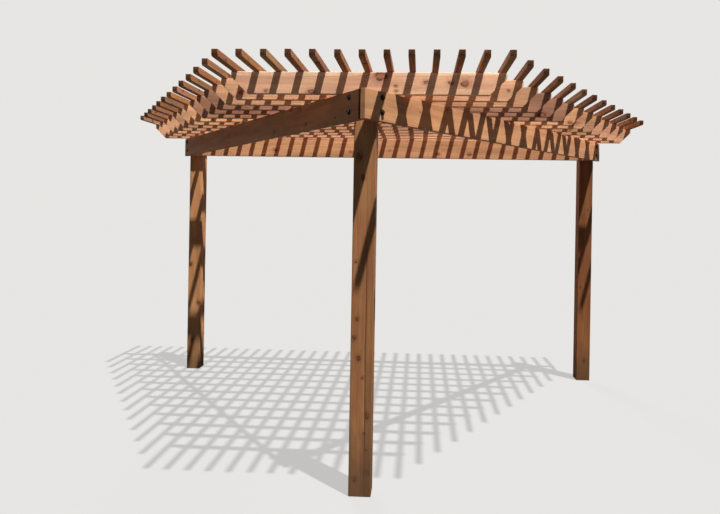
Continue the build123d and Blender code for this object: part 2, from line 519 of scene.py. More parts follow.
def add_piece(mesh, material):
    """Adds a mesh to the scene as a piece of the same name, which rides on the part's one body."""
    mesh.materials.append(material)
    piece = bpy.data.objects.new(mesh.name, mesh)
    bpy.context.scene.collection.objects.link(piece)
    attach(piece, "root")
    return piece


def timber_piece(node, timbers, finish, material):
    """Joins the surfaces of some timbers into one mesh, with their grain, and puts it in a solid's place."""
    surfaces = [timber_surface(timber, finish) for timber in timbers]
    joined = {label: np.concatenate([surface[label] for surface in surfaces])
              for label in ("points", PLACE, TONE, HOLLOW, DULL, SAPWOOD, KNOT, ACROSS)}
    starts = np.cumsum([0] + [len(surface["points"]) for surface in surfaces])
    quads = np.concatenate([surface["quads"] + start for surface, start in zip(surfaces, starts)])
    caps = [(face + start).tolist() for surface, start in zip(surfaces, starts) for face in surface["caps"]]
    mesh = bpy.data.meshes.new(node + ("_timber" if len(timbers) == 1 else "_timbers"))
    mesh.from_pydata(joined["points"].tolist(), [], quads.tolist() + caps)
    for label in (PLACE, TONE, HOLLOW, DULL, SAPWOOD):
        store(mesh, label, "POINT", joined[label])
    cap_corners = sum(len(face) for face in caps)
    store(mesh, KNOT, "CORNER", np.vstack([joined[KNOT], np.tile(NO_KNOT, (cap_corners, 1))]))
    store(mesh, ACROSS, "FACE", np.vstack([joined[ACROSS], np.zeros((len(caps), 3))]))
    end_shades = [np.tile(timber.end_shades, 2) for timber in timbers]
    store(mesh, END, "FACE", np.concatenate([np.zeros(len(quads))] + end_shades))
    mesh.shade_smooth()
    mesh.validate()
    piece = add_piece(mesh, material)
    flat_faces = piece.modifiers.new("Flat faces, round arrises", "WEIGHTED_NORMAL")
    flat_faces.keep_sharp = True
    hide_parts(node)


def make_timbers(context, kind, timbers):
    """Makes the material of one kind of timber, and a piece for each node from its timbers."""
    material = timber_material(kind, context.scene.pergola_colours)
    for node, pieces in timbers.items():
        timber_piece(node, pieces, context.scene.pergola_finish, material)
    return {"FINISHED"}


# Timbers of the pergola

def post_timber(node, centre, seats, finish, seed):
    """A post up to the beams' tops, boxed round the heart of the tree, with seats for the beams."""
    top = constant(HEAD_HEIGHT)
    post = Timber("post", centre, UP, RIGHT, POST_SIDE, POST_SIDE, constant(0.0), top, finish.post_ease, seed)
    post.seats = seats
    half = POST_SIDE / 2
    for v_part, w_part in seats:
        front_mark = (SEAT_OFFSET + w_part * half) / abs(v_part)
        side_mark = (SEAT_OFFSET - abs(v_part) * half) / w_part
        post.marks[LEFT_FLAT] += (math.copysign(front_mark, v_part),)
        post.marks[TOP_FLAT if v_part > 0 else BOTTOM_FLAT] += (side_mark,)
    post.grow(finish, range(4))
    post.match(node)
    return post


def beam_timber(node, along, finish, seed):
    """A beam, whose two ends are read off the faces of its solid."""
    points = corners(node) - FRONT_CENTRE
    side = np.cross(along, UP)
    left, right = reach(points, side)
    cuts = [reach(only_at(points, side, face), along) for face in (left, right)]
    middle = FRONT_CENTRE + side * (left + right) / 2 + UP * (BEAM_BOTTOM + HEAD_HEIGHT) / 2
    ends = [slanting(cuts[0][end], cuts[1][end], right - left) for end in (0, 1)]
    beam = Timber("beam", middle, along, UP, BEAM_DEPTH, right - left, *ends, finish.board_ease, seed)
    beam.grow(finish, [LEFT_FLAT])
    beam.match(node)
    return beam


def joist_timber(node, finish, seed):
    """A joist whose nosed ends are read off its solid: their tip, their kink and the slope below it."""
    lowest, highest = box(node)
    middle = (lowest + highest) / 2
    points = corners(node) - middle
    tip = reach(points, RIGHT)[1]
    foot = reach(only_at(points, UP, reach(points, UP)[0]), RIGHT)[1]
    kink = reach(only_at(points, RIGHT, tip), UP)[0]
    depth, width = highest[2] - lowest[2], highest[1] - lowest[1]
    end = nosed(tip, kink, (tip - foot) / (kink + depth / 2))
    start = lambda v, w: -end(v, w)
    joist = Timber("joist", middle, RIGHT, UP, depth, width, start, end, finish.board_ease, seed)
    joist.nose(kink)
    joist.grow(finish, [LEFT_FLAT])
    joist.match(node)
    return joist


def purlin_timber(node, side, finish, seed):
    """The purlin on one side of the middle plane, its chamfered tips trimmed a little unevenly."""
    lowest, highest = box(node)
    height = (lowest[2] + highest[2]) / 2
    points = corners(node) - UP * height
    tip, tail = reach(points, BACK)
    kink = reach(only_at(points, BACK, tip), UP)[0]
    underside = reach(points, UP)[0]
    slope = (reach(only_at(points, UP, underside), BACK)[0] - tip) / (kink - underside)
    depth = highest[2] - lowest[2] - finish.planed
    middle = RIGHT * side * (highest[0] - PURLIN_WIDTH / 2) + UP * (height - finish.planed / 2)
    kink += finish.planed / 2
    purlin = Timber("purlin", middle, BACK, UP, depth, PURLIN_WIDTH, None, None, finish.purlin_ease, seed)
    front_trim, back_trim = purlin.draw.uniform(0, finish.uneven_trim, 2)
    front_end = nosed(-tip - front_trim, kink, slope)
    purlin.start = lambda v, w: -front_end(v, w)
    purlin.finish = nosed(tail - back_trim, kink, slope)
    purlin.nose(kink)
    purlin.wander = -side * abs(purlin.draw.normal(0, finish.uneven_tip))
    purlin.grow(finish, [LEFT_FLAT])
    if (node, side) in PURLIN_TONES:
        purlin.tone, purlin.sapwood = np.array(PURLIN_TONES[node, side]), NO_SAPWOOD
    return purlin


# Bolts and screws

def turned(profile, count, flats_across=math.inf):
    """A turned shape: profile rows are radius, height and 1 where the hexagon limits the radius.

    The point at an angle lies at the row's radius, or at the hexagon's edge where that is nearer: half the
    distance across flats, divided by the cosine of the angle from the middle of the flat. The first and
    last rows close to a point on the axis."""
    profile = np.array(profile)
    angle = np.linspace(0, 2 * math.pi, count, endpoint=False)
    from_flat = np.mod(angle, math.pi / 3) - math.pi / 6
    hexagon = flats_across / 2 / np.cos(from_flat)
    inner = profile[1:-1]
    radius = np.where(inner[:, 2:] > 0, np.minimum(inner[:, :1], hexagon), inner[:, :1])
    height = np.repeat(inner[:, 1:2], count, axis=1)
    rings = np.stack([radius * np.cos(angle), radius * np.sin(angle), height], axis=2).reshape(-1, 3)
    points = np.vstack([rings, (0, 0, profile[0, 1]), (0, 0, profile[-1, 1])])
    place = np.arange(count)
    after = np.roll(place, -1)
    last = (len(inner) - 1) * count
    below = np.stack([after, place, np.full(count, len(rings))], axis=1)
    above = np.stack([last + place, last + after, np.full(count, len(rings) + 1)], axis=1)
    return points, ring_quads(len(inner), count), np.vstack([below, above])


def fixings_piece(name, shape, places, directions, turns, material):
    """Copies one turned shape to every place, its axis along the direction there, as a single piece."""
    points, quads, ends = shape
    directions = np.asarray(directions, float)
    upright = np.abs(directions[:, 2:]) > 0.9
    other = np.where(upright, RIGHT, UP)
    first = np.cross(other, directions)
    second = np.cross(directions, first)
    cosine, sine = np.cos(turns)[:, None], np.sin(turns)[:, None]
    axes = np.stack([first * cosine + second * sine, second * cosine - first * sine, directions], axis=1)
    placed = (points @ axes + np.asarray(places)[:, None]).reshape(-1, 3)
    offset = np.arange(len(places))[:, None, None] * len(points)
    faces = (quads + offset).reshape(-1, 4).tolist() + (ends + offset).reshape(-1, 3).tolist()
    mesh = bpy.data.meshes.new(name)
    mesh.from_pydata(placed.tolist(), [], faces)
    mesh.shade_smooth()
    mesh.set_sharp_from_angle(angle=SHARP_ANGLE)
    add_piece(mesh, material)


# Shader nodes

class Nodes:
    """Puts nodes into one tree and links them. A value may be a socket, a number, a vector or a colour."""

    def __init__(self, tree):
        self.tree = tree

    def fill(self, socket, value):
        """Links a socket to another, or sets its value."""
        if isinstance(value, bpy.types.NodeSocket):
            self.tree.links.new(value, socket)
        else:
            socket.default_value = (*value, 1.0) if socket.type == "RGBA" and len(value) == 3 else value

    def feed(self, sockets, **values):
        """Fills sockets by their names, in which a low line stands for a space."""
        for name, value in values.items():
            self.fill(sockets[name.replace("_", " ")], value)

    def put(self, kind, *inputs, **named):
        """Adds a node, fills its first inputs in order and returns its outputs.

        A name that starts with a capital letter is an input's, and any other one is an option's."""
        node = self.tree.nodes.new("ShaderNode" + kind)
        for option in [name for name in named if name[0].islower()]:
            setattr(node, option, named.pop(option))
        self.feed(node.inputs, **named)
        for socket, value in zip(node.inputs, inputs):
            self.fill(socket, value)
        return node.outputs

    def group(self, name, **inputs):
        """Places one of the groups that all the timbers share, which is made the first time."""
        tree = bpy.data.node_groups.get(name) or GROUP_MAKERS[name](name)
        return self.put("Group", node_tree=tree, **inputs)

    def maths(self, operation, *values):
        """One sum on numbers."""
        return self.put("Math", *values, operation=operation)[0]

    def times(self, *values):
        """The product of two numbers, plus a third where there is one."""
        return self.maths("MULTIPLY" if len(values) == 2 else "MULTIPLY_ADD", *values)

    def vectors(self, operation, *values):
        """One sum on vectors."""
        return self.put("VectorMath", *values, operation=operation)[0]

    def smooth(self, value, low, high, at_low=0.0, at_high=1.0):
        """A smooth step from one level to another, as a value goes from low to high."""
        return self.put("MapRange", value, low, high, at_low, at_high, interpolation_type="SMOOTHSTEP")[0]

    def noise(self, place, stretch, detail, roughness=0.5):
        """Soft noise in a place stretched by three factors, as a value and a colour."""
        stretched = self.vectors("MULTIPLY", place, stretch)
        return self.put("TexNoise", stretched, Scale=1.0, Detail=detail, Roughness=roughness)

    def blend(self, factor, first, second, how="MIX"):
        """A mix of two colours."""
        node = self.tree.nodes.new("ShaderNodeMix")
        node.data_type, node.blend_type = "RGBA", how
        for number, value in zip(MIX_INPUTS, (factor, first, second)):
            self.fill(node.inputs[number], value)
        return node.outputs[MIX_OUTPUT]

    def lay(self, under, given, mask, over):
        """Lays a colour over another where one of the given masks says so, up to that mask's share."""
        return self.blend(self.times(given[mask], COVER[mask]), under, over)

    def attribute(self, name, output):
        """An attribute of the mesh, as its vector or its single number."""
        return self.put("Attribute", attribute_name=name)[output]

    def from_knot(self, knot, shorten):
        """Distance from the middle of the nearest knot, with the part along the grain shortened."""
        along = self.maths("POWER", self.times(knot[0], shorten), 2.0)
        return self.maths("SQRT", self.maths("ADD", along, self.maths("POWER", knot[1], 2.0)))


def new_group(name, inputs, outputs):
    """An empty node group, whose sockets are listed by their kind, with its inputs and outputs to link."""
    tree = bpy.data.node_groups.new(name, "ShaderNodeTree")
    for direction, kinds in (("INPUT", inputs), ("OUTPUT", outputs)):
        for kind, labels in kinds.items():
            for label in labels:
                tree.interface.new_socket(name=label, in_out=direction, socket_type="NodeSocket" + kind)
    return Nodes(tree), tree.nodes.new("NodeGroupInput").outputs, tree.nodes.new("NodeGroupOutput").inputs


def grain_group(name):
    """Solid grain of a tree: rings round its heart, fibres and streaks along it, all bent round the knots.

    A ring is the fraction of the distance from the heart divided by the rings' width, rising slowly
    through the early wood and falling fast after the late wood. Fibres, streaks and bands are noise
    stretched along the grain, each coarser than the one before. Patches are noise of a hand's width or so."""
    nodes, given, result = new_group(
        name, {"Vector": ("Place", "Knot", "Across"), "Float": ("Ring Width", "Sapwood Radius")},
        {"Float": (*GRAIN_NOISE, "Rings", "Sapwood")})
    knot = nodes.put("SeparateXYZ", given["Knot"])
    pull = nodes.smooth(nodes.maths("DIVIDE", nodes.from_knot(knot, 0.45), knot[2]), 0.7, 3.4, 0.8, 0.0)
    pulled = nodes.times(knot[1], pull)
    bend = nodes.put("VectorMath", given["Across"], operation="SCALE", Scale=pulled)[0]
    bent = nodes.vectors("SUBTRACT", given["Place"], bend)
    sway = nodes.vectors("SUBTRACT", nodes.noise(bent, (0.55, 0.0, 0.0), 1.0)[1], (0.5, 0.5, 0.5))
    swayed = nodes.vectors("ADD", bent, nodes.vectors("MULTIPLY", sway, (0.0, 0.05, 0.05)))
    ripple = nodes.maths("SUBTRACT", nodes.noise(bent, (4.0, 38.0, 38.0), 2.0)[0], 0.5)
    flat = nodes.vectors("MULTIPLY", swayed, (0.0, 1.0, 1.0))
    from_heart = nodes.put("VectorMath", flat, operation="LENGTH")["Value"]
    radius = nodes.times(ripple, RIPPLE, from_heart)
    past_bark = nodes.maths("SUBTRACT", radius, given["Sapwood Radius"])
    turn = nodes.maths("FRACT", nodes.maths("DIVIDE", radius, given["Ring Width"]))
    late = nodes.times(nodes.smooth(turn, 0.25, 0.92), nodes.smooth(turn, 0.94, 1.0, 1.0, 0.0))
    nodes.feed(result, Rings=late, Sapwood=nodes.smooth(past_bark, -0.002, 0.003))
    for label, (along, across, detail, roughness, low) in GRAIN_NOISE.items():
        level = nodes.noise(bent, (along, across, across), detail, roughness)[0]
        nodes.feed(result, **{label: nodes.smooth(level, low, 1 - low)})
    return nodes.tree


def knots_group(name):
    """Knots as rounded patches with a dark rim, a reddish halo and faint rings of their own.

    The measure is the distance from the knot's middle over its radius, made uneven by noise."""
    nodes, given, result = new_group(
        name, {"Vector": ("Knot", "Place")}, {"Float": ("Heart", "Rim", "Halo", "Knot Rings")})
    knot = nodes.put("SeparateXYZ", given["Knot"])
    uneven = nodes.maths("ADD", nodes.noise(given["Place"], (70.0, 110.0, 110.0), 2.0)[0], 0.5)
    measure = nodes.maths("DIVIDE", nodes.times(nodes.from_knot(knot, 0.72), uneven), knot[2])
    rim = nodes.times(nodes.smooth(measure, 0.6, 0.95), nodes.smooth(measure, 1.0, 1.35, 1.0, 0.0))
    broken = nodes.smooth(nodes.noise(given["Place"], (28.0, 55.0, 55.0), 1.0)[0], 0.32, 0.56)
    ripple = nodes.maths("SINE", nodes.times(measure, 17.0))
    nodes.feed(result, Heart=nodes.smooth(measure, 0.82, 1.0, 1.0, 0.0), Rim=nodes.times(rim, broken),
               Halo=nodes.smooth(measure, 1.0, 3.2, 1.0, 0.0), Knot_Rings=nodes.times(ripple, 0.5, 0.5))
    return nodes.tree


def weather_and_top_shade_group(name):
    """Where a timber has weathered: bleached on top, where rain and sun reach it, and soiled by splashes
    near the ground, both with an uneven edge. The darker bleached colour on upper faces is also painted
    shade, which keeps them from rendering too bright under the strong light from above."""
    nodes, given, result = new_group(
        name, {"Vector": ("Spot", "Place"), "Float": ("Facing Up", "Splash Height")},
        {"Float": ("Bleach", "Splash")})
    height = nodes.put("SeparateXYZ", given["Spot"])[2]
    patches = nodes.noise(given["Spot"], (9.0, 9.0, 5.0), 4.0, 0.6)[0]
    worn = nodes.noise(given["Place"], (2.0, 60.0, 60.0), 3.0, 0.6)[0]
    top = nodes.smooth(given["Facing Up"], 0.4, 0.95)
    bleach_and_top_shade = nodes.times(top, nodes.smooth(worn, 0.3, 0.75, 0.82, 1.0))
    edge = nodes.times(given["Splash Height"], nodes.times(patches, 1.6, 0.2))
    near = nodes.maths("DIVIDE", height, nodes.maths("MAXIMUM", edge, 0.001))
    nodes.feed(result, Bleach=bleach_and_top_shade, Splash=nodes.smooth(near, 0.15, 1.0, 1.0, 0.0))
    return nodes.tree


def stain_group(name):
    """Colour of stained timber from its grain and knots.

    The light colour goes towards the dark one in the late wood, the fibres and the streaks. The board's
    own tone makes all of it lighter or darker, redder or yellower, and patches take more stain. Knots,
    bleached tops (also painted shade), the dull strip, ends (darker end grain, with some painted shade and
    painted light), soil and painted shade in open checks are laid over it in that order."""
    nodes, given, result = new_group(name, {
        "Color": ("Light", "Dark", "Knot Colour", "Soil Colour", "Bleached Colour"),
        "Vector": ("Tone",),
        "Float": (*GRAIN_NOISE, "Rings", "Sapwood", *COVER, "End", "Tone Spread"),
    }, {"Color": ("Colour",), "Float": ("Roughness", "Height")})
    lighter, yellower, stronger = nodes.put("SeparateXYZ", given["Tone"])
    grain = nodes.times(given["Streaks"], 0.30, nodes.times(given["Rings"], 0.26))
    grain = nodes.times(given["Fibres"], 0.26, grain)
    colour = nodes.blend(grain, given["Light"], given["Dark"])
    colour = nodes.put("HueSaturation", *SAPWOOD_SHIFT, given["Sapwood"], colour)[0]
    value = nodes.times(lighter, given["Tone Spread"], 1.0)
    value = nodes.times(value, nodes.times(given["Bands"], 0.30, 0.85))
    hue, strength = nodes.times(yellower, 0.004, 0.5), nodes.times(stronger, 0.05, 1.0)
    colour = nodes.put("HueSaturation", hue, strength, value, 1.0, colour)[0]
    colour = nodes.blend(1.0, colour, nodes.blend(given["Patches"], *STAIN_TAKEN), "MULTIPLY")
    colour = nodes.lay(colour, given, "Halo", given["Knot Colour"])
    heart = nodes.lay(given["Knot Colour"], given, "Knot Rings", given["Dark"])
    colour = nodes.lay(colour, given, "Heart", heart)
    colour = nodes.lay(colour, given, "Rim", RIM_COLOUR)
    # Bleached tops: real weathering, and painted shade that keeps upper faces from rendering too bright
    colour = nodes.lay(colour, given, "Bleach", given["Bleached Colour"])
    colour = nodes.lay(colour, given, "Dull", given["Soil Colour"])
    # End faces: darker end grain, partly painted shade on the left beam's end in the lap, and painted light
    # on the purlins' paler chamfers
    shade = nodes.maths("SUBTRACT", 1.0, given["End"])
    colour = nodes.vectors("MULTIPLY", colour, nodes.put("CombineXYZ", shade, shade, shade)[0])
    colour = nodes.lay(colour, given, "Splash", given["Soil Colour"])
    # Painted shade: darkens the inside of open checks, where little light would reach
    colour = nodes.lay(colour, given, "Hollow", CHECK_SHADE_COLOUR)
    rough = nodes.times(given["Splash"], 0.15, nodes.times(given["Fibres"], 0.12, 0.58))
    rough = nodes.times(given["Bleach"], 0.08, rough)
    height = nodes.times(given["Fibres"], -0.5, nodes.times(given["Rings"], 0.35))
    height = nodes.times(given["Heart"], 0.3, nodes.times(given["Rim"], -0.8, height))
    nodes.feed(result, Colour=colour, Roughness=rough, Height=height)
    return nodes.tree


GROUP_MAKERS = {
    "Timber grain": grain_group,
    "Timber knots": knots_group,
    "Timber weathering": weather_and_top_shade_group,
    "Stained timber": stain_group,
}


def new_material(name):
    """A new material, with its nodes."""
    material = bpy.data.materials.new(name)
    material.use_nodes = True
    return material, Nodes(material.node_tree)


def timber_material(kind, colours):
    """Stained timber of one kind: its own colours and ring width in the groups that all the kinds share."""
    ring_width, splash_height, knot_colour = WOODS[kind]
    material, nodes = new_material(kind + "_wood")
    place, knot, across, tone = [nodes.attribute(label, VECTOR) for label in (PLACE, KNOT, ACROSS, TONE)]
    end, hollow, dull, sapwood = [nodes.attribute(label, NUMBER) for label in (END, HOLLOW, DULL, SAPWOOD)]
    spot = nodes.put("TexCoord")["Object"]
    facing_up = nodes.put("SeparateXYZ", nodes.put("NewGeometry")["Normal"])[2]
    grain = nodes.group(
        "Timber grain", Place=place, Knot=knot, Across=across, Ring_Width=ring_width, Sapwood_Radius=sapwood)
    knots = nodes.group("Timber knots", Knot=knot, Place=place)
    weather_and_top_shade = nodes.group(
        "Timber weathering", Spot=spot, Place=place, Facing_Up=facing_up, Splash_Height=splash_height)
    masks = {socket.name: socket for outputs in (grain, knots, weather_and_top_shade) for socket in outputs}
    stain = nodes.group(
        "Stained timber", Light=getattr(colours, kind + "_light"), Dark=getattr(colours, kind + "_dark"),
        Knot_Colour=getattr(colours, knot_colour), Soil_Colour=colours.soil, Bleached_Colour=colours.bleached,
        Tone=tone, Tone_Spread=colours.tone_spread, End=end, Hollow=hollow, Dull=dull, **masks)
    relief = nodes.put("Bump", Strength=0.6, Distance=0.0008, Height=stain["Height"])[0]
    nodes.feed(nodes.tree.nodes["Principled BSDF"].inputs, Base_Color=stain["Colour"],
               Roughness=stain["Roughness"], Normal=relief, Specular_IOR_Level=0.12)
    return material


def bolt_material(colour):
    """Black coated steel, a little dusty, and rougher where the coat has worn."""
    material, nodes = new_material("bolt_metal")
    spot = nodes.put("TexCoord")["Object"]
    dust = nodes.smooth(nodes.noise(spot, (260.0, 260.0, 260.0), 3.0, 0.6)[0], 0.45, 0.75)
    worn = nodes.smooth(nodes.noise(spot, (900.0, 900.0, 900.0), 2.0)[0], 0.5, 0.7)
    dusty = nodes.blend(nodes.times(dust, 0.25), colour, DUST_COLOUR)
    relief = nodes.put("Bump", Strength=0.3, Distance=0.0002, Height=worn)[0]
    nodes.feed(nodes.tree.nodes["Principled BSDF"].inputs, Base_Color=dusty, Metallic=0.3,
               Roughness=nodes.times(worn, 0.20, 0.36), Normal=relief, Specular_IOR_Level=0.2)
    return material


# What a user may change

def a_number(name, description, default, least, most, **more):
    """A number that a user may change."""
    return FloatProperty(name=name, description=description, default=default, min=least, max=most, **more)


def a_length(name, description, default, least, most):
    """A length that a user may change."""
    return a_number(name, description, default, least, most, subtype="DISTANCE", unit="LENGTH")


def an_angle(name, description, degrees):
    """An angle that a user may change, given in degrees."""
    return FloatProperty(
        name=name, description=description, default=math.radians(degrees), subtype="ANGLE", unit="ROTATION")


def a_colour(name, description, default):
    """A colour that a user may change."""
    return FloatVectorProperty(
        name=name, description=description, default=default, size=3, min=0, max=1, subtype="COLOR")


def a_vector(name, description, default, subtype):
    """A place or a direction that a user may change."""
    return FloatVectorProperty(
        name=name, description=description, default=default, size=3, subtype=subtype,
        unit="LENGTH" if subtype == "TRANSLATION" else "NONE")


class PergolaFinish(bpy.types.PropertyGroup):
    """How the sawn timbers are finished."""

    post_ease: a_length("Post arris", "Radius of the eased arrises of the posts", 0.005, 0.001, 0.012)
    board_ease: a_length(
        "Board arris", "Radius of the eased arrises of the beams and joists", 0.0032, 0.001, 0.01)
    purlin_ease: a_length("Purlin arris", "Radius of the eased arrises of the purlins", 0.0025, 0.001, 0.01)
    step_along: a_length(
        "Step along", "Distance between the outlines that a timber's surface runs through", 0.1, 0.02, 0.5)
    step_across: a_length("Step across", "Distance between the points of an outline", 0.03, 0.01, 0.1)
    planed: a_length(
        "Planed off", "How much lower than its stock size a purlin's top lies, under its screws",
        0.0008, 0.0, 0.002)
    uneven_trim: a_length("Uneven trim", "Most that a purlin's tip is cut short", 0.009, 0.0, 0.02)
    uneven_tip: a_length("Uneven tip", "Usual sideways wander of a purlin's free tips", 0.0015, 0.0, 0.005)
    lap_gap: a_length(
        "Lap gap", "How far the left beam's square end stays short of the right beam", 0.009, 0.0, 0.02)
    knots_per_metre: a_number("Knots per metre", "How many knots a beam has in each metre", 1.6, 0.2, 6.0)
    seed: IntProperty(
        name="Seed", description="Changes the draw of grain, knots and tones", default=20, min=0)


class PergolaColours(bpy.types.PropertyGroup):
    """Colours of the stained timber and the bolts."""

    post_light: a_colour("Post, early wood", "Lighter colour of the posts' grain", (0.48, 0.22, 0.095))
    post_dark: a_colour("Post, late wood", "Darker colour of the posts' grain", (0.285, 0.112, 0.045))
    beam_light: a_colour("Beam, early wood", "Lighter colour of the beams' grain", (0.62, 0.314, 0.156))
    beam_dark: a_colour("Beam, late wood", "Darker colour of the beams' grain", (0.41, 0.178, 0.079))
    joist_light: a_colour("Joist, early wood", "Lighter colour of the joists' grain", (0.92, 0.495, 0.288))
    joist_dark: a_colour("Joist, late wood", "Darker colour of the joists' grain", (0.6, 0.273, 0.142))
    purlin_light: a_colour("Purlin, early wood", "Lighter colour of the purlins' grain", (0.54, 0.24, 0.11))
    purlin_dark: a_colour("Purlin, late wood", "Darker colour of the purlins' grain", (0.3, 0.112, 0.046))
    knot: a_colour(
        "Knots", "Colour of the knots of the beams and joists, and of the wood round them",
        (0.34, 0.095, 0.048))
    dark_knot: a_colour("Dark knots", "The same for the posts and purlins", (0.14, 0.048, 0.02))
    soil: a_colour("Soil", "Colour of the soil splashed on the posts' feet", (0.125, 0.066, 0.034))
    # The bleached colour is darker than the wood: partly real weathering, partly painted shade on upper faces
    # under the strong light from above
    bleached: a_colour("Bleached", "Colour that sun and rain give to upper faces", (0.165, 0.106, 0.07))
    tone_spread: a_number(
        "Tone spread", "How much lighter or darker one board is than the next", 0.14, 0.0, 0.4,
        subtype="FACTOR")
    bolt: a_colour("Bolts", "Colour of the bolts, washers and screws", (0.012, 0.011, 0.01))


class PergolaFixings(bpy.types.PropertyGroup):
    """Sizes of the bolts and screws."""

    washer: a_length("Washer", "Diameter of the washers under the bolt heads", 0.038, 0.015, 0.06)
    washer_thickness: a_length("Washer thickness", "Thickness of the washers", 0.0025, 0.001, 0.005)
    head_across: a_length("Head", "Distance across the flats of a bolt head", 0.024, 0.008, 0.03)
    head_height: a_length("Head height", "Height of a bolt head over its washer", 0.01, 0.004, 0.02)
    screw: a_length(
        "Screw", "Diameter of the heads of the screws that hold the purlins", 0.009, 0.005, 0.015)


class PergolaStage(bpy.types.PropertyGroup):
    """Floor, light and camera."""

    eye: a_vector("Eye", "Where the camera stands", (0.3367, -5.2992, 1.7717), "TRANSLATION")
    heading: an_angle("Heading", "How far the camera is turned to the left", 2.985)
    roll: an_angle("Roll", "How far the camera's right-hand side is raised", 0.968)
    lens: a_number("Lens", "Focal length on a frame 36 mm wide", 31.5, 10.0, 200.0, unit="CAMERA")
    pale: a_colour("Background", "Colour of the floor and of what lies beyond it", (0.8, 0.79, 0.77))
    key: a_number("Main light", "Strength of the main light", 8.8, 0.0, 20.0)
    key_from: a_vector(
        "Main light from", "Where the main light comes from", (0.235, -0.225, 1.0), "DIRECTION")
    key_softness: an_angle("Softness", "Width of the main light, as seen from the object", 0.9)
    back: a_number("Back light", "Strength of the second light, from behind on the left", 1.6, 0.0, 20.0)
    back_from: a_vector(
        "Back light from", "Where the second light comes from", (-0.3, 0.9, 0.4), "DIRECTION")
    back_softness: an_angle("Back softness", "Width of the second light, as seen from the object", 15)
    fill: a_number("Fill light", "Strength of the light from all round", 0.1, 0.0, 2.0)
    fill_colour: a_colour(
        "Fill colour", "Colour of the light from all round, a little cool as open sky is",
        (0.5, 0.78, 1.0))
    bounce: a_number(
        "Bounce", "How much light the floor throws back up, as a part of what falls on it", 0.052, 0.0, 1.0)
    shadow: a_number("Shadow", "How far the floor darkens where the light doesn't reach it", 0.35, 0.0, 1.0)


# Operators, one for each kind of piece

class PERGOLA_OT_posts(bpy.types.Operator):
    """Make the three posts, with seats for the beams, knots and drying checks"""

    bl_idname = "pergola.posts"
    bl_label = "Posts"

    def execute(self, context):
        finish = context.scene.pergola_finish
        right_seat, left_seat = tuple(OUT_RIGHT[:2]), tuple(OUT_LEFT[:2])
        rows = (
            ("front_post", FRONT_CENTRE, (right_seat, left_seat)),
            ("right_post", RIGHT_CENTRE, (right_seat,)),
            ("left_post", LEFT_CENTRE, (left_seat,)),
        )
        seed = finish.seed + SEEDS["posts"]
        posts = {row[0]: [post_timber(*row, finish, seed + number)] for number, row in enumerate(rows)}
        posts["front_post"][0].dull_below = DULL_BELOW
        return make_timbers(context, "post", posts)


class PERGOLA_OT_beams(bpy.types.Operator):
    """Make the two slanting beams and the back beam, with their square and slanting ends"""

    bl_idname = "pergola.beams"
    bl_label = "Beams"

    def execute(self, context):
        finish = context.scene.pergola_finish
        rows = (("right_beam", ALONG_RIGHT), ("left_beam", ALONG_LEFT), ("back_beam", RIGHT))
        seed = finish.seed + SEEDS["beams"]
        beams = {row[0]: [beam_timber(*row, finish, seed + number)] for number, row in enumerate(rows)}
        beams["right_beam"][0].end_shades = PALE_END
        self.cut_square(beams["left_beam"][0], finish.lap_gap)
        return make_timbers(context, "beam", beams)

    def cut_square(self, beam, gap):
        """Cuts the front end square at its shorter face, less a gap, which leaves a wedge open at the lap."""
        faces = np.array((-0.5, 0.5)) * beam.width
        beam.start = constant(beam.start(0 * faces, faces).max() + gap)


class PERGOLA_OT_joists(bpy.types.Operator):
    """Make the joists, each with nosed ends, and the knots of the front one"""

    bl_idname = "pergola.joists"
    bl_label = "Joists"

    def execute(self, context):
        finish = context.scene.pergola_finish
        seed = finish.seed + SEEDS["joists"]
        joists = {name: [joist_timber(name, finish, seed + number)] for number, name in enumerate(JOISTS)}
        front = joists[JOISTS[0]][0]
        front.heart, front.sapwood = FRONT_JOIST_HEART, FRONT_JOIST_SAPWOOD
        return make_timbers(context, "joist", joists)


class PERGOLA_OT_purlins(bpy.types.Operator):
    """Make the centre purlin and the pairs beside it, with chamfered tips"""

    bl_idname = "pergola.purlins"
    bl_label = "Purlins"

    def execute(self, context):
        finish = context.scene.pergola_finish
        centre_seed, seed = finish.seed + SEEDS["centre purlin"], finish.seed + SEEDS["pairs"]
        purlins = {"centre_purlin": [purlin_timber("centre_purlin", 1, finish, centre_seed)]}
        for number, name in enumerate(PURLIN_PAIRS):
            purlins[name] = [
                purlin_timber(name, side, finish, seed + 2 * number + (side > 0)) for side in (-1, 1)
            ]
        return make_timbers(context, "purlin", purlins)


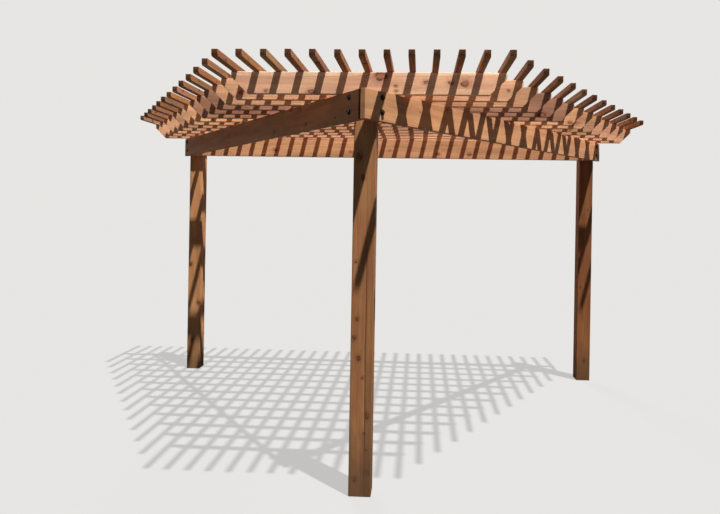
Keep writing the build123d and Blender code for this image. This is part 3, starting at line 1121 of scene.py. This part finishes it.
class PERGOLA_OT_bolts(bpy.types.Operator):
    """Make the bolts and washers that hold the beams to the posts, two at each"""

    bl_idname = "pergola.bolts"
    bl_label = "Bolts"

    def execute(self, context):
        fixings, colours = context.scene.pergola_fixings, context.scene.pergola_colours
        washer, under = fixings.washer / 2, fixings.washer_thickness
        head, top = fixings.head_across, fixings.washer_thickness + fixings.head_height
        crown = 0.15 * fixings.head_height
        profile = [
            (0, 0, 0), (washer, 0, 0), (washer, 0.7 * under, 0), (0.96 * washer, under, 0), (head, under, 1),
            (head, top - 2 * crown, 1), (0.52 * head, top - crown, 1), (0.42 * head, top, 0), (0, top, 0),
        ]
        heights = [BEAM_BOTTOM + share * BEAM_DEPTH for share in BOLT_HEIGHTS]
        back_front = box("back_beam")[0, 1]
        back_end = reach(only_at(corners("back_beam"), BACK, back_front), RIGHT)[1]
        across = RIGHT * (RIGHT_CENTRE[0] - POST_SIDE / 2 + back_end) / 2
        feet = [(post + out * OUTER_OFFSET, out) for out, back_post in
                ((OUT_RIGHT, RIGHT_CENTRE), (OUT_LEFT, LEFT_CENTRE)) for post in (FRONT_CENTRE, back_post)]
        feet += [(BACK * back_front + side * across, -BACK) for side in (-1, 1)]
        places = [foot + UP * height for foot, out in feet for height in heights]
        directions = [out for foot, out in feet for height in heights]
        turns = np.random.default_rng(SEEDS["bolts"]).uniform(0, math.pi, len(places))
        shape = turned(profile, BOLT_SIDES, head)
        fixings_piece("beam_bolts", shape, places, directions, turns, bolt_material(colours.bolt))
        return {"FINISHED"}


class PERGOLA_OT_screws(bpy.types.Operator):
    """Make the heads of the screws that hold the purlins down, one over each joist that a purlin crosses"""

    bl_idname = "pergola.screws"
    bl_label = "Screws"

    def execute(self, context):
        radius = context.scene.pergola_fixings.screw / 2
        level = ROOF_TOP - context.scene.pergola_finish.planed / 4
        profile = [
            (0, -0.003, 0), (0.5 * radius, -0.0028, 0), (radius, -0.001, 0), (0.97 * radius, -0.0002, 0),
            (0.48 * radius, 0.0, 0), (0.42 * radius, -0.001, 0), (0, -0.0012, 0),
        ]
        joists = np.array([box(name) for name in JOISTS])
        right_lines = np.array([0.0] + [box(name)[1, 0] - PURLIN_WIDTH / 2 for name in PURLIN_PAIRS])
        lines = np.concatenate([-right_lines[:0:-1], right_lines])
        purlin, joist = np.nonzero(np.abs(lines[:, None]) < joists[:, 1, 0])
        draw = np.random.default_rng(SEEDS["screws"])
        crossings = np.column_stack([lines[purlin], joists[joist].mean(axis=1)[:, 1]])
        crossings = crossings + draw.uniform(-SCREW_JITTER, SCREW_JITTER, (len(purlin), 2))
        places = np.column_stack([crossings, np.full(len(purlin), level)])
        turns = draw.uniform(0, math.pi, len(places))
        directions = np.tile(UP, (len(places), 1))
        material = bpy.data.materials["bolt_metal"]
        fixings_piece("purlin_screws", turned(profile, SCREW_SIDES), places, directions, turns, material)
        return {"FINISHED"}


class PERGOLA_OT_stage(bpy.types.Operator):
    """Set the pale floor, the soft light and the camera at the photograph's viewing angle"""

    bl_idname = "pergola.stage"
    bl_label = "Stage"

    def execute(self, context):
        stage = context.scene.pergola_stage
        self.make_floor(context, stage)
        self.make_light(context, stage)
        self.make_camera(context, stage)
        return {"FINISHED"}

    def make_floor(self, context, stage):
        """A wide flat floor just under the posts' feet, seen from above only.

        The camera sees it as pale as what lies beyond it, and darker by the shadow's share where the main
        light doesn't reach. All other rays see a plain grey floor."""
        sides = ((-1, -1), (1, -1), (1, 1), (-1, 1))
        mesh = bpy.data.meshes.new("floor")
        points = [(x * FLOOR_HALF, y * FLOOR_HALF, FLOOR_LEVEL) for x, y in sides]
        mesh.from_pydata(points, [], [(0, 1, 2, 3)])
        floor = bpy.data.objects.new("floor", mesh)
        context.scene.collection.objects.link(floor)
        level = stage.fill
        for strength, source in ((stage.key, stage.key_from), (stage.back, stage.back_from)):
            level += strength * source[2] / np.linalg.norm(source) / math.pi
        share = stage.shadow / level
        material, nodes = new_material("pale_floor")
        nodes.tree.nodes.remove(nodes.tree.nodes["Principled BSDF"])
        matt = nodes.put("BsdfDiffuse", stage.pale)[0]
        glow = nodes.put("Emission", stage.pale, (1 - stage.shadow) / (1 - share))[0]
        grey = nodes.put("BsdfDiffuse", (stage.bounce,) * 3)[0]
        clear = nodes.put("BsdfTransparent")[0]
        seen = nodes.put("LightPath")["Is Camera Ray"]
        pale = nodes.put("MixShader", share, glow, matt)[0]
        shown = nodes.put("MixShader", seen, grey, pale)[0]
        behind = nodes.put("NewGeometry")["Backfacing"]
        output = nodes.tree.nodes["Material Output"].inputs["Surface"]
        nodes.fill(output, nodes.put("MixShader", behind, shown, clear)[0])
        mesh.materials.append(material)

    def make_light(self, context, stage):
        """A lamp high in front on the right, a weaker one behind on the left, and even light all round.

        The one behind gives no gloss, because it would shine along the faces that the camera sees edge on."""
        self.make_lamp(context, "main_light", stage.key, stage.key_softness, stage.key_from)
        behind = self.make_lamp(context, "back_light", stage.back, stage.back_softness, stage.back_from)
        behind.visible_glossy = False
        world = bpy.data.worlds.new("pale_world")
        world.use_nodes = True
        nodes = Nodes(world.node_tree)
        nodes.tree.nodes.clear()
        rays = nodes.put("LightPath")
        seen = nodes.maths("MAXIMUM", rays["Is Camera Ray"], rays["Is Glossy Ray"])
        seen = nodes.maths("MAXIMUM", seen, rays["Is Transmission Ray"])
        around = nodes.put("Background", stage.fill_colour, stage.fill)[0]
        beyond = nodes.put("Background", stage.pale, 1.0)[0]
        nodes.put("OutputWorld", Surface=nodes.put("MixShader", seen, around, beyond)[0])
        context.scene.world = world

    def make_lamp(self, context, name, strength, softness, source):
        """A far lamp whose light comes from one direction."""
        lamp = bpy.data.lights.new(name, "SUN")
        lamp.energy, lamp.angle = strength, softness
        light = bpy.data.objects.new(name, lamp)
        towards = np.array(source) / np.linalg.norm(source)
        across = np.cross(UP, towards)
        across = across / np.linalg.norm(across)
        axes = np.eye(4)
        axes[:3] = np.column_stack([across, np.cross(towards, across), towards, towards * LAMP_DISTANCE])
        light.matrix_world = Matrix(axes.tolist())
        context.scene.collection.objects.link(light)
        return light

    def make_camera(self, context, stage):
        """A level camera turned slightly left and rolled a little, its frame shifted as the photo's is."""
        camera = bpy.data.cameras.new("camera")
        camera.lens, camera.sensor_width, camera.clip_end = stage.lens, FILM, SIGHT
        camera.shift_x = (PHOTO_WIDTH / 2 - PHOTO_AHEAD[0]) / PHOTO_WIDTH
        camera.shift_y = (PHOTO_AHEAD[1] - PHOTO_HEIGHT / 2) / PHOTO_WIDTH
        eye = bpy.data.objects.new("camera", camera)
        turn = Matrix.Rotation(stage.heading, 4, "Z") @ Matrix.Rotation(math.pi / 2, 4, "X")
        eye.matrix_world = Matrix.Translation(stage.eye) @ turn @ Matrix.Rotation(stage.roll, 4, "Z")
        context.scene.collection.objects.link(eye)
        context.scene.camera = eye
        context.scene.view_settings.view_transform = "Standard"


class PERGOLA_PT_sidebar(bpy.types.Panel):
    """Lists the sizes and colours, and the operators in the order in which they run"""

    bl_idname = "PERGOLA_PT_sidebar"
    bl_label = "Pergola"
    bl_space_type = "VIEW_3D"
    bl_region_type = "UI"
    bl_category = "Pergola"

    def draw(self, context):
        for group, name in GROUPS.items():
            settings = self.layout.box()
            for setting in group.__annotations__:
                settings.prop(getattr(context.scene, name), setting)
        for operator in OPERATORS:
            self.layout.operator(operator.bl_idname)


GROUPS = {
    PergolaFinish: "pergola_finish",
    PergolaColours: "pergola_colours",
    PergolaFixings: "pergola_fixings",
    PergolaStage: "pergola_stage",
}
OPERATORS = (
    PERGOLA_OT_posts, PERGOLA_OT_beams, PERGOLA_OT_joists, PERGOLA_OT_purlins, PERGOLA_OT_bolts,
    PERGOLA_OT_screws, PERGOLA_OT_stage,
)


def register():
    """Makes the groups, operators and panel known, and gives each group to the scene."""
    for group, name in GROUPS.items():
        bpy.utils.register_class(group)
        setattr(bpy.types.Scene, name, PointerProperty(type=group))
    for kind in (*OPERATORS, PERGOLA_PT_sidebar):
        bpy.utils.register_class(kind)


def unregister():
    """Takes back what register made known."""
    for kind in (PERGOLA_PT_sidebar, *reversed(OPERATORS)):
        bpy.utils.unregister_class(kind)
    for group, name in GROUPS.items():
        delattr(bpy.types.Scene, name)
        bpy.utils.unregister_class(group)


def main():
    """Runs every operator in order."""
    register()
    bpy.ops.pergola.posts()
    bpy.ops.pergola.beams()
    bpy.ops.pergola.joists()
    bpy.ops.pergola.purlins()
    bpy.ops.pergola.bolts()
    bpy.ops.pergola.screws()
    bpy.ops.pergola.stage()


if __name__ == "__main__":
    main()
